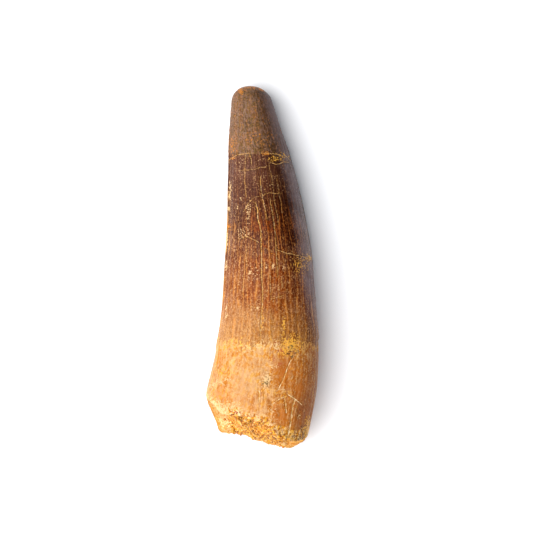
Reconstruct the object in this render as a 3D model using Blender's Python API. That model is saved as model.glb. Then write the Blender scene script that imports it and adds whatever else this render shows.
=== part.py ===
"""Fossil tooth of a spinosaur, lying on its side on a flat surface at z = 0.

The crown points along +Y and bends towards -X. The root stub is at -Y and ends in a slanting break
that is crusted with sand. Lengths are in metres, with +Z up. A place on the tooth is given by its
distance from the tip, called along, and by its turn round the tooth, which is 0 at +X and a quarter
turn on top.
"""

import math
from bisect import bisect_right

import bmesh
import bpy
from mathutils import Vector, noise

MM = 0.001
QUARTER = math.pi / 2
FULL = 2 * math.pi

LENGTH = 76.0 * MM

# Distance from the tip, then the section there: sideways middle, half width, half height, and
# height of its underside. Below 0 the underside is worn away to the flat that the tooth lies on.
SECTIONS_MM = (
    (0.0, -2.5, 3.3, 3.15, 1.3),
    (8.0, -1.75, 4.8, 4.6, 0.6),
    (20.0, -0.2, 6.85, 6.3, 0.0),
    (34.5, 1.1, 8.6, 7.6, -0.12),
    (48.0, 1.2, 9.85, 8.35, -0.12),
    (57.0, 0.75, 10.95, 8.9, -0.02),
    (65.0, -0.5, 11.6, 9.15, 0.15),
    (76.0, -1.8, 10.7, 9.0, 0.5),
)
TIP_ROUNDING = 3.4 * MM
TIP_BLUNTNESS = 2.4
LUMP_HEIGHT = 0.16 * MM
LUMP_SIZE = 9.0 * MM

# The enamel crown: its low flutes, its two cutting edges and the step down to the root.
FLUTES = 36
FLUTE_HEIGHT = 0.15 * MM
FLUTES_START = 5.0 * MM
ENAMEL_END = 54.2 * MM
ENAMEL_END_SLANT = 1.0 * MM
ENAMEL_STEP = 1.4 * MM
ENAMEL_THICKNESS = 0.18 * MM
CUTTING_EDGE_HEIGHT = 0.28 * MM
CUTTING_EDGE_WIDTH = 0.075
CUTTING_EDGE_TURNS = (math.radians(170), math.radians(350))
CUTTING_EDGE_FADE = 16.0 * MM

# Turn in degrees, and how far from the tip the outer wall breaks off there.
BREAK_EDGE_MM = (
    (0, 73.6),
    (25, 74.2),
    (45, 74.6),
    (58, 74.0),
    (70, 72.8),
    (80, 71.0),
    (95, 70.0),
    (115, 69.0),
    (135, 68.6),
    (150, 66.6),
    (180, 65.3),
    (200, 67.4),
    (215, 69.6),
    (230, 72.6),
    (250, 73.3),
    (270, 74.7),
    (290, 75.7),
    (310, 76.0),
    (335, 75.0),
    (360, 73.6),
)
BREAK_CORE = 73.2 * MM
BREAK_WALL = 0.12
BREAK_RECESS = 1.0 * MM
BREAK_LUMP_HEIGHT = 1.0 * MM
BREAK_LUMP_SIZE = 2.6 * MM
EDGE_CHIP_DEPTH = 0.35 * MM
EDGE_CHIP_SIZE = 2.2 * MM
EDGE_RADIUS = 10.5 * MM
EDGE_WORN_DEPTH = 0.5 * MM
EDGE_WORN_LENGTH = 1.8 * MM

# Mesh rows from the tip's pole to the break's pole. Three columns go to each flute.
COLUMNS = 3 * FLUTES
TIP_ROWS = 6
WORN_CROWN_ROWS = 3
CROWN_ROWS = 14
STEP_ROWS = 2
ROOT_ROWS = 8
BREAK_ROWS = 14
ROWS = TIP_ROWS + CROWN_ROWS + STEP_ROWS + ROOT_ROWS + BREAK_ROWS


def smooth_step(low, high, value):
    """Rises smoothly from 0 at low to 1 at high."""
    share = min(max((value - low) / (high - low), 0.0), 1.0)
    return share * share * (3 - 2 * share)


def curve_through(stations, place):
    """Values at place of the smooth curve through stations, which are (place, value, ...)."""
    places = [station[0] for station in stations]
    first = min(max(bisect_right(places, place) - 1, 0), len(stations) - 2)
    before, start, end, after = (
        stations[min(max(first + step, 0), len(stations) - 1)] for step in (-1, 0, 1, 2)
    )
    span = end[0] - start[0]
    share = (place - start[0]) / span
    values = []
    for a, b, c, d in zip(before[1:], start[1:], end[1:], after[1:]):
        slope_in = (c - a) / (end[0] - before[0]) * span
        slope_out = (d - b) / (after[0] - start[0]) * span
        values.append(
            b * (1 + 2 * share) * (1 - share) ** 2
            + slope_in * share * (1 - share) ** 2
            + c * share**2 * (3 - 2 * share)
            - slope_out * share**2 * (1 - share)
        )
    return values


def turn_between(a, b):
    """The smaller angle between two turns."""
    return abs((a - b + math.pi) % FULL - math.pi)


def lumps(point, size, seed):
    """Smooth noise from -1 to 1, in lumps of about this size."""
    return noise.noise(point / size + Vector((seed, 2.7 * seed, -seed)))


def enamel_end(turn):
    """How far from the tip the enamel ends: sooner on the convex side."""
    return ENAMEL_END - ENAMEL_END_SLANT * math.cos(turn)


def break_edge(turn):
    """How far from the tip the wall breaks off, without its chips and with them."""
    along = curve_through(BREAK_EDGE_MM, math.degrees(turn % FULL))[0] * MM
    on_rim = Vector((math.cos(turn), math.sin(turn), 0)) * EDGE_RADIUS
    return along, along + EDGE_CHIP_DEPTH * lumps(on_rim, EDGE_CHIP_SIZE, 7.7)


def relief(along, turn, on_skin):
    """How far the wall stands out from its plain oval section at this place."""
    underside = math.exp(-((turn_between(turn, 3 * QUARTER) / 0.55) ** 2))
    past_enamel = along - enamel_end(turn)
    on_crown = 1 - smooth_step(-ENAMEL_STEP / 2, ENAMEL_STEP / 2, past_enamel)
    ripple = 0.5 + 0.5 * math.cos(FLUTES * turn)
    fluted = smooth_step(FLUTES_START, 3 * FLUTES_START, along)
    height = FLUTE_HEIGHT * ripple * fluted * on_crown * (1 - underside)
    height += ENAMEL_THICKNESS * on_crown
    sharp = fluted * (1 - smooth_step(-CUTTING_EDGE_FADE, 0, past_enamel))
    for edge_turn in CUTTING_EDGE_TURNS:
        away = turn_between(turn, edge_turn) / CUTTING_EDGE_WIDTH
        height += CUTTING_EDGE_HEIGHT * math.exp(-(away**2)) * sharp
    worn = max(along - break_edge(turn)[1] + EDGE_WORN_LENGTH, 0.0) / EDGE_WORN_LENGTH
    height -= EDGE_WORN_DEPTH * worn**2
    return height + LUMP_HEIGHT * lumps(on_skin, LUMP_SIZE, 3.1)


def wall_point(along, turn):
    """A point of the tooth's outer wall."""
    middle, half_width, half_height, underside = (
        value * MM for value in curve_through(SECTIONS_MM, along / MM)
    )
    to_tip = max(1 - along / TIP_ROUNDING, 0.0)
    rounding = (1 - to_tip**TIP_BLUNTNESS) ** (1 / TIP_BLUNTNESS)
    centre = Vector((middle, LENGTH / 2 - along, underside + half_height))
    out = Vector((half_width * math.cos(turn), 0, half_height * math.sin(turn)))
    on_skin = centre + out * rounding
    return on_skin + out.normalized() * relief(along, turn, on_skin) * rounding


def break_point(inward, turn):
    """A point of the broken end. Inward runs from 0 at the wall to 1 at the middle."""
    plain_along, chipped_along = break_edge(turn)
    edge = wall_point(chipped_along, turn)
    middle, _, half_height, underside = (
        value * MM for value in curve_through(SECTIONS_MM, BREAK_CORE / MM)
    )
    centre = Vector((middle, 0, underside + half_height))
    point = edge.lerp(centre, inward)
    inside = smooth_step(0.5 * BREAK_WALL, 1.5 * BREAK_WALL, inward)
    edge_along = chipped_along + (plain_along - chipped_along) * inside
    along = edge_along + (BREAK_CORE - edge_along) * smooth_step(0, 1, inward)
    upper = 0.4 + 0.6 * max(math.sin(turn), 0.0)
    along -= BREAK_RECESS * upper * inside * (1 - smooth_step(0.2, 0.65, inward))
    point.y = LENGTH / 2 - along
    rough = lumps(point, BREAK_LUMP_SIZE, 1.3) + 0.5 * lumps(point, BREAK_LUMP_SIZE / 2, 4.9)
    point.y += BREAK_LUMP_HEIGHT * rough * (0.2 + 0.8 * inside)
    return point


def row_point(row, turn):
    """Where the vertex of this row and turn goes: rounded tip, crown, root, then the break."""
    if row <= TIP_ROWS:
        opening = QUARTER * row / TIP_ROWS
        return wall_point(TIP_ROUNDING * (1 - math.cos(opening)), turn)
    row -= TIP_ROWS
    step_start = enamel_end(turn) - ENAMEL_STEP / 2
    step_end = enamel_end(turn) + ENAMEL_STEP / 2
    for start, end, rows in (
        (TIP_ROUNDING, step_start, CROWN_ROWS),
        (step_start, step_end, STEP_ROWS),
        (step_end, break_edge(turn)[1], ROOT_ROWS),
    ):
        if row <= rows:
            return wall_point(start + (end - start) * row / rows, turn)
        row -= rows
    return break_point(row / BREAK_ROWS, turn)


def wear_flat(mesh):
    """Cuts the tooth along z = 0 and closes it with the flat face that it lies on."""
    cut = bmesh.ops.bisect_plane(
        mesh,
        geom=mesh.verts[:] + mesh.edges[:] + mesh.faces[:],
        plane_co=(0, 0, 0),
        plane_no=(0, 0, -1),
        clear_outer=True,
    )
    rim = [item for item in cut["geom_cut"] if isinstance(item, bmesh.types.BMEdge)]
    bmesh.ops.holes_fill(mesh, edges=rim)


def principled(name, colour, roughness):
    material = bpy.data.materials.new(name)
    material.use_nodes = True
    shader = material.node_tree.nodes["Principled BSDF"]
    shader.inputs["Base Color"].default_value = (*colour, 1)
    shader.inputs["Roughness"].default_value = roughness
    shader.inputs["Metallic"].default_value = 0.0
    material.diffuse_color = (*colour, 1)
    return material


def zone(row):
    """Which material is below this row: 0 worn tip, 1 enamel, 2 root, 3 sandy break."""
    zone_starts = (
        TIP_ROWS + WORN_CROWN_ROWS,
        TIP_ROWS + CROWN_ROWS + STEP_ROWS // 2,
        ROWS - BREAK_ROWS,
    )
    return bisect_right(zone_starts, row)


def centre_on_origin(mesh):
    """Slides the tooth so that the origin is below the middle of its box."""
    for axis in (0, 1):
        places = [vertex.co[axis] for vertex in mesh.verts]
        middle = (min(places) + max(places)) / 2
        for vertex in mesh.verts:
            vertex.co[axis] -= middle


def make_tooth():
    """A sphere's rows and columns, moved to the tooth's own surface."""
    shape = bmesh.new()
    bmesh.ops.create_uvsphere(shape, u_segments=COLUMNS, v_segments=ROWS, radius=1)
    row_of = {}
    for vertex in shape.verts:
        height = min(max(vertex.co.z, -1.0), 1.0)
        row_of[vertex] = round(math.acos(height) / math.pi * ROWS)
        turn = math.atan2(vertex.co.y, vertex.co.x) % FULL
        vertex.co = row_point(row_of[vertex], turn)
    for face in shape.faces:
        face.material_index = zone(min(row_of[vertex] for vertex in face.verts))
    wear_flat(shape)
    centre_on_origin(shape)
    bmesh.ops.recalc_face_normals(shape, faces=shape.faces)
    mesh = bpy.data.meshes.new("tooth")
    shape.to_mesh(mesh)
    shape.free()
    mesh.shade_smooth()
    mesh.set_sharp_from_angle(angle=math.radians(40))
    mesh.materials.append(principled("worn tip", (0.25, 0.13, 0.07), 0.6))
    mesh.materials.append(principled("brown enamel", (0.19, 0.06, 0.02), 0.3))
    mesh.materials.append(principled("amber root", (0.72, 0.34, 0.1), 0.42))
    mesh.materials.append(principled("sandy break", (0.62, 0.34, 0.11), 0.85))
    return bpy.data.objects.new("tooth", mesh)


def main():
    for leftover in list(bpy.data.objects):
        bpy.data.objects.remove(leftover)
    fossil = bpy.data.collections.new("spinosaur tooth")
    bpy.context.scene.collection.children.link(fossil)
    fossil.objects.link(make_tooth())


main()
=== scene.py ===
"""Looks of a fossil spinosaur tooth, laid out as a Blender add-on and run as a script.

The tooth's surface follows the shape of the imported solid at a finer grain, with the striae, cracks,
pits and crumbling edges that the solid leaves out. Lengths are in metres, with +Z up. A place on the
tooth is given by its distance from the tip, called along, and by its turn round the tooth, which is 0
at +X and a quarter turn on top. Marks on the upper side are placed by pixels of the photograph.
"""

import math
import random
from bisect import bisect_right
from collections import namedtuple

import bmesh
import bpy
from mathutils import Euler, Matrix, Vector, noise


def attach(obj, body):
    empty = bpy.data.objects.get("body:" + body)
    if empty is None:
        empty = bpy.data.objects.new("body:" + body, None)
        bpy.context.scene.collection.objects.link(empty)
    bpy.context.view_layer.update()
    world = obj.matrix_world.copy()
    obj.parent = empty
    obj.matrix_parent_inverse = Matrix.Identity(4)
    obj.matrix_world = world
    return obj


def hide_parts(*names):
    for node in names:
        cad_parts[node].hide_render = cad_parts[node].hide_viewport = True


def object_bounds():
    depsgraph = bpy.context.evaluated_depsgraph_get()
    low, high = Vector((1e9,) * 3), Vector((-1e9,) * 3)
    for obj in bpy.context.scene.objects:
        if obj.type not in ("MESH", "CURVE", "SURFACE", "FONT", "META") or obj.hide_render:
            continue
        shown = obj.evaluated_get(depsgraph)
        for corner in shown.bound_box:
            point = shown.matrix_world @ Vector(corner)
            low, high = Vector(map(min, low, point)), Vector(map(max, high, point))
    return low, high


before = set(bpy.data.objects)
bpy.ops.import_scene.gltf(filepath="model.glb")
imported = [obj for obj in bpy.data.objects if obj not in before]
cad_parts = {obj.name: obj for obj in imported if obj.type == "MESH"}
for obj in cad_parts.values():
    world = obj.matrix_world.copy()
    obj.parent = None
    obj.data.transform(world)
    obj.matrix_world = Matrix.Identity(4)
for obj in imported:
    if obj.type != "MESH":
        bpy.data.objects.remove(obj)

bl_info = {
    "name": "Fossil spinosaur tooth",
    "version": (1, 0, 0),
    "blender": (4, 5, 0),
    "location": "View3D > Sidebar > Fossil",
    "description": "Builds the fine surface of a fossil tooth, the sand on its break and its stage",
    "category": "Object",
}

CAD_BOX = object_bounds()
NODE = "tooth"
BODY = "root"

MM = 0.001
QUARTER = math.pi / 2
FULL = 2 * math.pi

# The photograph looks straight down. These pixels lie over the origin, at this many metres each.
PHOTO_SIZE = 533
PHOTO_ORIGIN = (262.6, 266.6)
PIXEL = 0.21 * MM

LENGTH = 76.0 * MM

# Distance from the tip, then the section there: sideways middle, half width, half height, and
# height of its underside. Below 0 the underside is worn away to the flat that the tooth lies on.
SECTIONS_MM = (
    (0.0, -2.85, 3.35, 3.15, 1.3),
    (8.0, -1.8, 5.0, 4.6, 0.6),
    (20.0, -0.2, 6.85, 6.3, 0.0),
    (34.5, 1.1, 8.6, 7.6, -0.12),
    (48.0, 1.2, 9.85, 8.35, -0.12),
    (57.0, 0.75, 10.95, 8.9, -0.02),
    (65.0, -0.5, 11.6, 9.15, 0.15),
    (76.0, -1.8, 10.7, 9.0, 0.5),
)
TIP_ROUNDING = 3.4 * MM
TIP_BLUNTNESS = 2.4
LUMP_HEIGHT = 0.16 * MM
LUMP_SIZE = 9.0 * MM

# The enamel crown: its low flutes, its two cutting edges and the step down to the root.
FLUTES = 36
FLUTES_START = 5.0 * MM
ENAMEL_END = 54.2 * MM
ENAMEL_END_SLANT = 1.0 * MM
ENAMEL_STEP = 0.8 * MM
ENAMEL_THICKNESS = 0.18 * MM
CUTTING_EDGE_HEIGHT = 0.28 * MM
CUTTING_EDGE_WIDTH = 0.075
CUTTING_EDGE_TURNS = (math.radians(170), math.radians(350))
CUTTING_EDGE_FADE = 16.0 * MM
WORN_TIP_END = 14.6 * MM

# The flutes fade out round the underside, within this turn of straight down.
UNDERSIDE_WIDTH = 0.55

# Turn in degrees, and how far from the tip the outer wall breaks off there.
BREAK_EDGE_MM = (
    (0, 73.6), (25, 74.2), (45, 74.6), (58, 74.0), (70, 72.8), (80, 71.0), (95, 70.0), (115, 69.0),
    (135, 68.6), (150, 66.6), (180, 65.3), (200, 67.4), (213, 69.8), (225, 72.9), (232, 73.0),
    (250, 73.3), (270, 74.7), (290, 75.6), (305, 76.1), (317, 76.4), (335, 75.1), (360, 73.6),
)
BREAK_CORE = 73.2 * MM
BREAK_WALL = 0.12
BREAK_RECESS = 1.0 * MM
BREAK_LUMP_HEIGHT = 1.0 * MM
BREAK_LUMP_SIZE = 2.6 * MM
EDGE_CHIP_DEPTH = 0.35 * MM
EDGE_CHIP_SIZE = 2.2 * MM
EDGE_RADIUS = 10.5 * MM
EDGE_WORN_DEPTH = 0.12 * MM
EDGE_WORN_LENGTH = 1.8 * MM

# The straight barrel that the finishes' patterns are wrapped on, so that they follow the tooth.
BARREL_RADIUS = 8.5 * MM

# Pale lines round the enamel.
LINES = 58

# Cracks and stains end at these heights on the sides: the sine of the turn there.
CRACKS_END = 0.0
STAINS_END = -0.3

# What a finish's colour is multiplied by where it is darker or warmer. The ones for the convex side and
# for the cracks paint shade in, and on the enamel's convex side the colour is partly browner too.
WARM_GRAIN = (1.0, 0.8, 0.32)
SHADED_CONVEX_TIP = (0.4, 0.36, 0.34)
BROWN_AND_SHADE_ENAMEL = (0.46, 0.34, 0.22)
SHADED_ENAMEL = (0.55, 0.38, 0.25)
DEEP_ENAMEL = (0.66, 0.4, 0.16)
SHADED_FLANK_ROOT = (0.58, 0.54, 0.56)
CRACK_SHADE = (0.4, 0.3, 0.2)

# Loose grains of sand: the seed of their shapes and places, how far in from the wall they begin, and
# how much of the sand lies on the bare wall.
GRAIN_SEED = 26
SAND_START = 0.03
BARE_WALL_SAND = 0.15

# The stage: half the floor's width, how far it lies below the tooth, the soft light's width and
# distance, the room as the camera sees it, and the height of the tooth's widest part.
FLOOR_HALF = 8.0
FLOOR_GAP = 0.02 * MM
KEY_WIDTH = 5.6
KEY_DISTANCE = 3.0
ROOM_SEEN = (0.975, 0.975, 0.98)
WIDEST = 8.5 * MM

# Rows of the fine surface from the tip's pole to the break's pole.
TIP_ROWS = 22
CROWN_ROWS = 102
ROOT_ROWS = 38
BREAK_ROWS = 58
ROWS = TIP_ROWS + CROWN_ROWS + ROOT_ROWS + BREAK_ROWS

# Cracks on the upper side, filled with pale matrix: width in pixels, how pale it is, and its points.
# A point is down then across where the crack runs lengthwise, and across then down elsewhere.
CRACKS = {
    "lengthwise": (
        (1.3, 0.45, ((154, 245), (163, 245.4), (177, 244.4), (190, 245.6), (199, 246.4))),
        (1.2, 0.7, ((153.4, 249.9), (161, 251), (165, 251.3))),
        (1.3, 0.75, ((176, 260.4), (183, 260.5), (190, 261.3), (199, 262.5), (209, 264.8), (221, 267.7))),
        (
            1.5, 1.0,
            (
                (200, 254.7), (210, 257.6), (218, 257.6), (230, 260.8), (256, 261.7), (276, 261.4),
                (294, 263), (315, 261.4), (339, 260.5),
            ),
        ),
        (1.1, 0.45, ((163, 268.5), (176, 271.7), (184, 272.8), (203, 274.5), (218, 277.7), (226, 278.5))),
        (
            1.2, 0.85,
            (
                (198, 270.2), (205, 270.8), (217, 273.1), (236, 275.4), (247, 275.7), (266, 277.3),
                (278, 277.5),
            ),
        ),
        (1.1, 0.4, ((178, 276.3), (191, 278.3), (203, 280.9), (214, 282.3))),
        (1.1, 0.5, ((246, 246.4), (256, 246.1), (265, 246.7), (276, 243.8), (294, 242.6))),
        (1.1, 0.55, ((272, 270), (283, 270.3), (292, 270.6), (300, 271.2))),
        (1.0, 0.6, ((276, 281.8), (288, 282.1))),
        (1.4, 0.75, ((358, 291.5), (366, 287.6), (375, 284.6), (383, 280.7), (389, 277.7))),
        (1.9, 1.0, ((398, 295.1), (404, 292.8), (415, 291.5), (426, 289.7), (437, 287.5))),
        (1.1, 0.9, ((389, 259.2), (401, 259.6))),
        (1.0, 0.6, ((389, 264.3), (399, 264.0))),
        (1.2, 0.9, ((397, 284.4), (412, 286.3))),
    ),
    "crosswise": (
        (1.2, 0.6, ((228, 160.5), (232, 158), (237.5, 155), (245, 153.8), (251, 153.6))),
        (1.0, 0.25, ((251, 153.6), (256, 153.4), (260, 153.6))),
        (1.3, 0.7, ((260, 153.6), (273, 154), (280, 155.5), (285, 155.5), (291, 160.5))),
        (1.2, 0.8, ((269.5, 162.8), (276, 164.6), (280.6, 163.5), (283.4, 162.3), (289, 162))),
        (1.2, 0.45, ((240, 171), (246, 170.3), (253.6, 170), (260.5, 168), (267, 167.2))),
        (
            1.2, 0.5,
            (
                (251.5, 200), (255.3, 197.4), (261, 196.5), (265, 194.5), (270, 193), (276, 194),
                (282.5, 194),
            ),
        ),
        (1.3, 0.7, ((243, 213), (245, 210), (248, 204.5), (251.5, 200))),
        (1.2, 0.75, ((239, 239), (243, 237.5), (247.3, 236.3), (251.2, 238.5), (259.5, 243))),
        (1.3, 0.75, ((275.5, 249.5), (285.6, 253), (294.5, 255), (299, 255.4), (312, 260.5))),
        (1.0, 0.6, ((271.5, 299), (277.3, 297), (284, 295))),
        (1.1, 0.45, ((242, 293), (244.8, 301), (249.9, 306.4), (257, 307.8))),
        (1.4, 0.9, ((286.5, 392), (289.6, 394.5), (292.2, 396.2), (296, 399), (302, 404))),
        (1.1, 0.8, ((273, 402), (279, 398), (285.5, 395))),
    ),
}

# Beside a crack's middle, in pixels: its filling per pixel of width, how softly that ends, and where the
# painted shadow line along it is full and gone. Both fade out over this share of its length.
CRACK_FILLING = 0.33
CRACK_SOFTNESS = 0.3
CRACK_SHADOW_REACH = (0.4, 1.4)
CRACK_FADE = 0.04

# The painted reflection of the pale floor along the convex side begins at this line: down, then across.
REFLECTION_EDGE = (
    (80, 255.0), (120, 266.0), (155, 276.0), (175, 281.0), (190, 286.0), (215, 290.5), (235, 293.5),
    (255, 295.5), (290, 299.5), (350, 310.0),
)

# Stains on the upper side, by colour: middle in pixels, half sizes in pixels, and strength. Some of the
# grey and rosy ones are painted sheen and reflection, and some red and dark ones are painted shade.
STAINS = {
    "cream": (
        (243, 234, 5.5, 5, 0.45), (248, 208, 2.5, 7, 0.45), (247.5, 224, 2, 12, 0.3),
        (229.5, 187, 1.3, 3.5, 1.0), (228.9, 196, 1.3, 3.6, 0.9), (228.3, 209, 1.1, 1.8, 1.0),
        (237, 208, 1.0, 3, 0.6), (240.4, 198.8, 1, 1.6, 0.8), (226, 241, 1.2, 7, 1.0),
        (225.7, 266, 1.0, 6, 0.8), (226, 308, 1.2, 2.4, 1.0), (225.5, 316, 1.3, 2.4, 1.0),
        (252, 275, 5, 9, 0.35), (272.2, 267, 1.3, 1.5, 0.9), (265.8, 266, 0.9, 3, 0.8),
        (282.4, 269, 1.0, 3, 0.6), (278, 288, 1.2, 1.5, 1.0), (256.5, 308, 1.5, 1.2, 0.9),
        (271, 186, 2.0, 1.2, 0.8), (262, 345, 13, 6, 0.38), (243, 348, 9, 4, 0.25), (276, 345, 4, 3, 0.6),
        (271, 364, 3, 2.5, 0.4), (266, 379, 5, 8, 0.8), (275, 366, 4, 3, 0.4), (281, 388, 3, 3, 0.45),
        (238, 165, 12, 12, 0.1), (226, 378, 5, 2, 0.5), (219, 382, 5, 2, 0.6), (212, 385.5, 4, 2.5, 0.7),
        (213, 407, 7, 7, 0.8), (223, 411, 8, 7, 0.75), (224, 421, 4, 4, 0.5), (235, 403, 8, 4, 0.35),
        (311.3, 374.7, 0.8, 0.8, 1.0), (292, 395, 2, 1.2, 0.7), (298, 415, 1.5, 2.5, 0.5),
        (272, 409, 4, 3, 0.4), (274, 420, 3, 4, 0.4),
    ),
    "ochre": (
        (265, 154, 4, 1.6, 1.0), (232, 158, 2.5, 1.5, 0.9), (228.5, 227, 2.5, 3, 0.9),
        (295, 260, 2.2, 1.8, 0.6), (276, 254, 6, 2, 0.4), (240, 91, 4.5, 3.2, 0.9),
        (252, 87, 9, 2.0, 0.8), (262, 89, 4, 2.2, 0.9), (281, 130, 1.2, 2.5, 0.8), (258, 140, 14, 8, 0.2),
        (232, 147, 3, 8, 0.5), (225, 398, 8, 4, 0.3),
    ),
    "gold": (
        (290, 344, 10, 8, 0.9), (283, 353, 4, 4, 0.6), (299, 265, 9, 8, 0.35), (309, 258, 4, 2.5, 0.9),
        (274, 159, 7, 4, 0.5), (284, 157, 5, 3, 0.4), (241, 344, 2, 6, 0.6), (283, 326, 1.5, 8, 0.7),
        (262, 318, 1.5, 10, 0.4), (306, 432, 3, 10, 0.9), (295, 444, 8, 2.5, 0.8), (290, 432, 4, 6, 0.5),
        (308, 420, 2, 6, 0.6), (216, 345, 1.5, 10, 0.4), (226, 238, 1.5, 9, 0.6), (225, 372, 9, 4, 0.3),
        (262, 388, 12, 3, 0.3), (283, 393, 8, 3, 0.4),
    ),
    # The grey patches left of the crown's middle are partly painted sheen, and the two at its right edge,
    # at 180 and 235 pixels down, are painted reflection of the floor.
    "grey": (
        (238, 172, 13, 16, 0.6), (252, 286, 12, 12, 0.5), (233, 304, 8, 12, 0.6), (243, 204, 12, 12, 0.5),
        (240, 262, 9, 10, 0.1), (292, 180, 5, 25, 0.5), (258, 320, 10, 8, 0.5), (300, 235, 4, 20, 0.5),
        (271, 236, 8, 9, 0.2),
    ),
    "olive": (
        (254, 345, 1.3, 1.5, 1.0), (266, 380, 4, 6, 0.65), (264.5, 382, 1.2, 1.0, 0.9),
        (290.7, 347.5, 2.5, 2, 0.8), (296, 351, 2, 1.5, 0.9), (291.5, 357, 1.6, 2, 0.9),
        (288, 353, 4, 4, 0.4), (292, 396.3, 0.9, 0.8, 1.0), (278, 352, 2, 1.4, 0.6),
        (300, 433, 5, 4, 0.15), (251, 170, 8, 8, 0.1),
    ),
    # The two red marks under the lip of the break, at 411.8 and 415.5 pixels down, are a painted reddish
    # shadow.
    "red": (
        (279, 350.5, 2.6, 1.6, 1.0), (280.5, 352, 1.5, 1.5, 0.8), (276, 343, 3, 2.5, 0.6),
        (236, 411.8, 4, 1.8, 1.0), (230, 415.5, 3, 2, 1.0), (272, 358, 3, 3, 0.5), (279, 364, 3, 2, 0.5),
    ),
    # The rosy patches left of the root's middle are partly painted sheen.
    "rosy": (
        (240, 380, 11, 20, 0.9), (232, 400, 10, 6, 0.7), (252, 398, 8, 8, 0.5), (257, 362, 7, 7, 0.6),
    ),
    "amber": (
        (281, 370, 9, 12, 1.0), (280, 415, 8, 11, 0.9), (297, 385, 9, 14, 0.8), (300, 412, 8, 14, 0.8),
        (220, 357, 5, 8, 0.5), (219, 392, 7, 7, 0.5), (250, 408, 8, 5, 0.4),
    ),
    "umber": (
        (301, 411, 7, 14, 1.0), (297, 436, 9, 8, 1.0), (306, 392, 5, 12, 0.5), (281, 364, 5, 8, 0.5),
    ),
    # The dark marks at the broken end, under its lip and in the crevices below its crust, are painted
    # shade; the others are dark specks.
    "dark": (
        (228, 417, 1.8, 1.0, 0.8), (231, 414.4, 2.2, 1.0, 0.8), (234.5, 412.4, 2.4, 0.9, 0.8),
        (238, 411.3, 2.2, 0.8, 0.7), (261, 149, 9, 2.4, 0.7), (275, 145, 3, 5, 0.6),
        (260.5, 153.8, 1.0, 0.8, 1.0), (266, 91, 3.5, 1.8, 0.7), (273, 158.5, 5, 3.5, 0.6),
        (296, 438, 8, 6, 0.6), (303, 430, 4, 8, 0.5), (250, 420, 4, 1.8, 0.5), (261, 422, 3, 2, 0.5),
        (269, 427, 4, 2, 0.5), (277, 433, 4, 2.5, 0.5), (284, 436, 3, 2.5, 0.4), (290, 351, 4, 4, 0.4),
        (298, 262, 9, 7, 0.4), (300, 410, 5, 10, 0.3), (226, 156, 1.4, 14, 0.5), (309, 330, 5, 12, 0.35),
        (228, 231, 1.5, 2, 0.6),
    ),
}


def amount(name, description, default, **limits):
    return bpy.props.FloatProperty(name=name, description=description, default=default, **limits)


def size(name, description, millimetres):
    limits = {"min": 0, "precision": 5, "subtype": "DISTANCE", "unit": "LENGTH"}
    return amount(name, description, millimetres * MM, **limits)


def angle(name, description, degrees):
    return amount(name, description, math.radians(degrees), subtype="ANGLE", unit="ROTATION")


def count(name, description, default, low, high):
    limits = {"min": low, "max": high}
    return bpy.props.IntProperty(name=name, description=description, default=default, **limits)


def colour(name, description, *parts):
    """A colour that the user can change. Its parts are given as in a picture, from 0 to 255."""
    default = [((part / 255 + 0.055) / 1.055) ** 2.4 for part in parts]
    limits = {"min": 0, "max": 1, "size": 3, "subtype": "COLOR", "default": default}
    return bpy.props.FloatVectorProperty(name=name, description=description, **limits)


def smooth_step(low, high, value):
    """Rises smoothly from 0 at low to 1 at high."""
    share = min(max((value - low) / (high - low), 0.0), 1.0)
    return share * share * (3 - 2 * share)


def curve_through(stations, place):
    """Values at place of the smooth curve through stations, which are (place, value, ...)."""
    places = [station[0] for station in stations]
    first = min(max(bisect_right(places, place) - 1, 0), len(stations) - 2)
    before, start, end, after = (
        stations[min(max(first + step, 0), len(stations) - 1)] for step in (-1, 0, 1, 2)
    )
    span = end[0] - start[0]
    share = (place - start[0]) / span
    values = []
    for a, b, c, d in zip(before[1:], start[1:], end[1:], after[1:]):
        slope_in = (c - a) / (end[0] - before[0]) * span
        slope_out = (d - b) / (after[0] - start[0]) * span
        values.append(
            b * (1 + 2 * share) * (1 - share) ** 2
            + slope_in * share * (1 - share) ** 2
            + c * share**2 * (3 - 2 * share)
            - slope_out * share**2 * (1 - share)
        )
    return values


def line_through(points, place):
    """Height at place of the straight stretches through points, which are (place, height)."""
    places = [point[0] for point in points]
    first = min(max(bisect_right(places, place) - 1, 0), len(points) - 2)
    (start, low), (end, high) = points[first : first + 2]
    return low + (high - low) * (place - start) / (end - start)


def turn_between(a, b):
    """The smaller angle between two turns."""
    return abs((a - b + math.pi) % FULL - math.pi)


def lumps(point, size, seed):
    """Smooth noise from -1 to 1, in lumps of about this size."""
    return noise.noise(point / size + Vector((seed, 2.7 * seed, -seed)))


def on_barrel(along, turn):
    """The place on a straight barrel that this place on the tooth is wrapped from."""
    return Vector((BARREL_RADIUS * math.cos(turn), BARREL_RADIUS * math.sin(turn), along))


def threads(barrel, width, length, seed):
    """Smooth noise from -1 to 1, in threads of this width that run along the tooth."""
    stretched = Vector((barrel.x, barrel.y, barrel.z * width / length))
    return lumps(stretched, width, seed)


def enamel_end(turn):
    """How far from the tip the enamel ends: sooner on the convex side."""
    return ENAMEL_END - ENAMEL_END_SLANT * math.cos(turn)


def break_edge(turn):
    """How far from the tip the wall breaks off, without its chips and with them."""
    along = curve_through(BREAK_EDGE_MM, math.degrees(turn % FULL))[0] * MM
    on_rim = Vector((math.cos(turn), math.sin(turn), 0)) * EDGE_RADIUS
    return along, along + EDGE_CHIP_DEPTH * lumps(on_rim, EDGE_CHIP_SIZE, 7.7)


def photo_pixel(point):
    """The pixel of the photograph that looks down on this point."""
    return PHOTO_ORIGIN[0] + point.x / PIXEL, PHOTO_ORIGIN[1] - point.y / PIXEL


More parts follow.
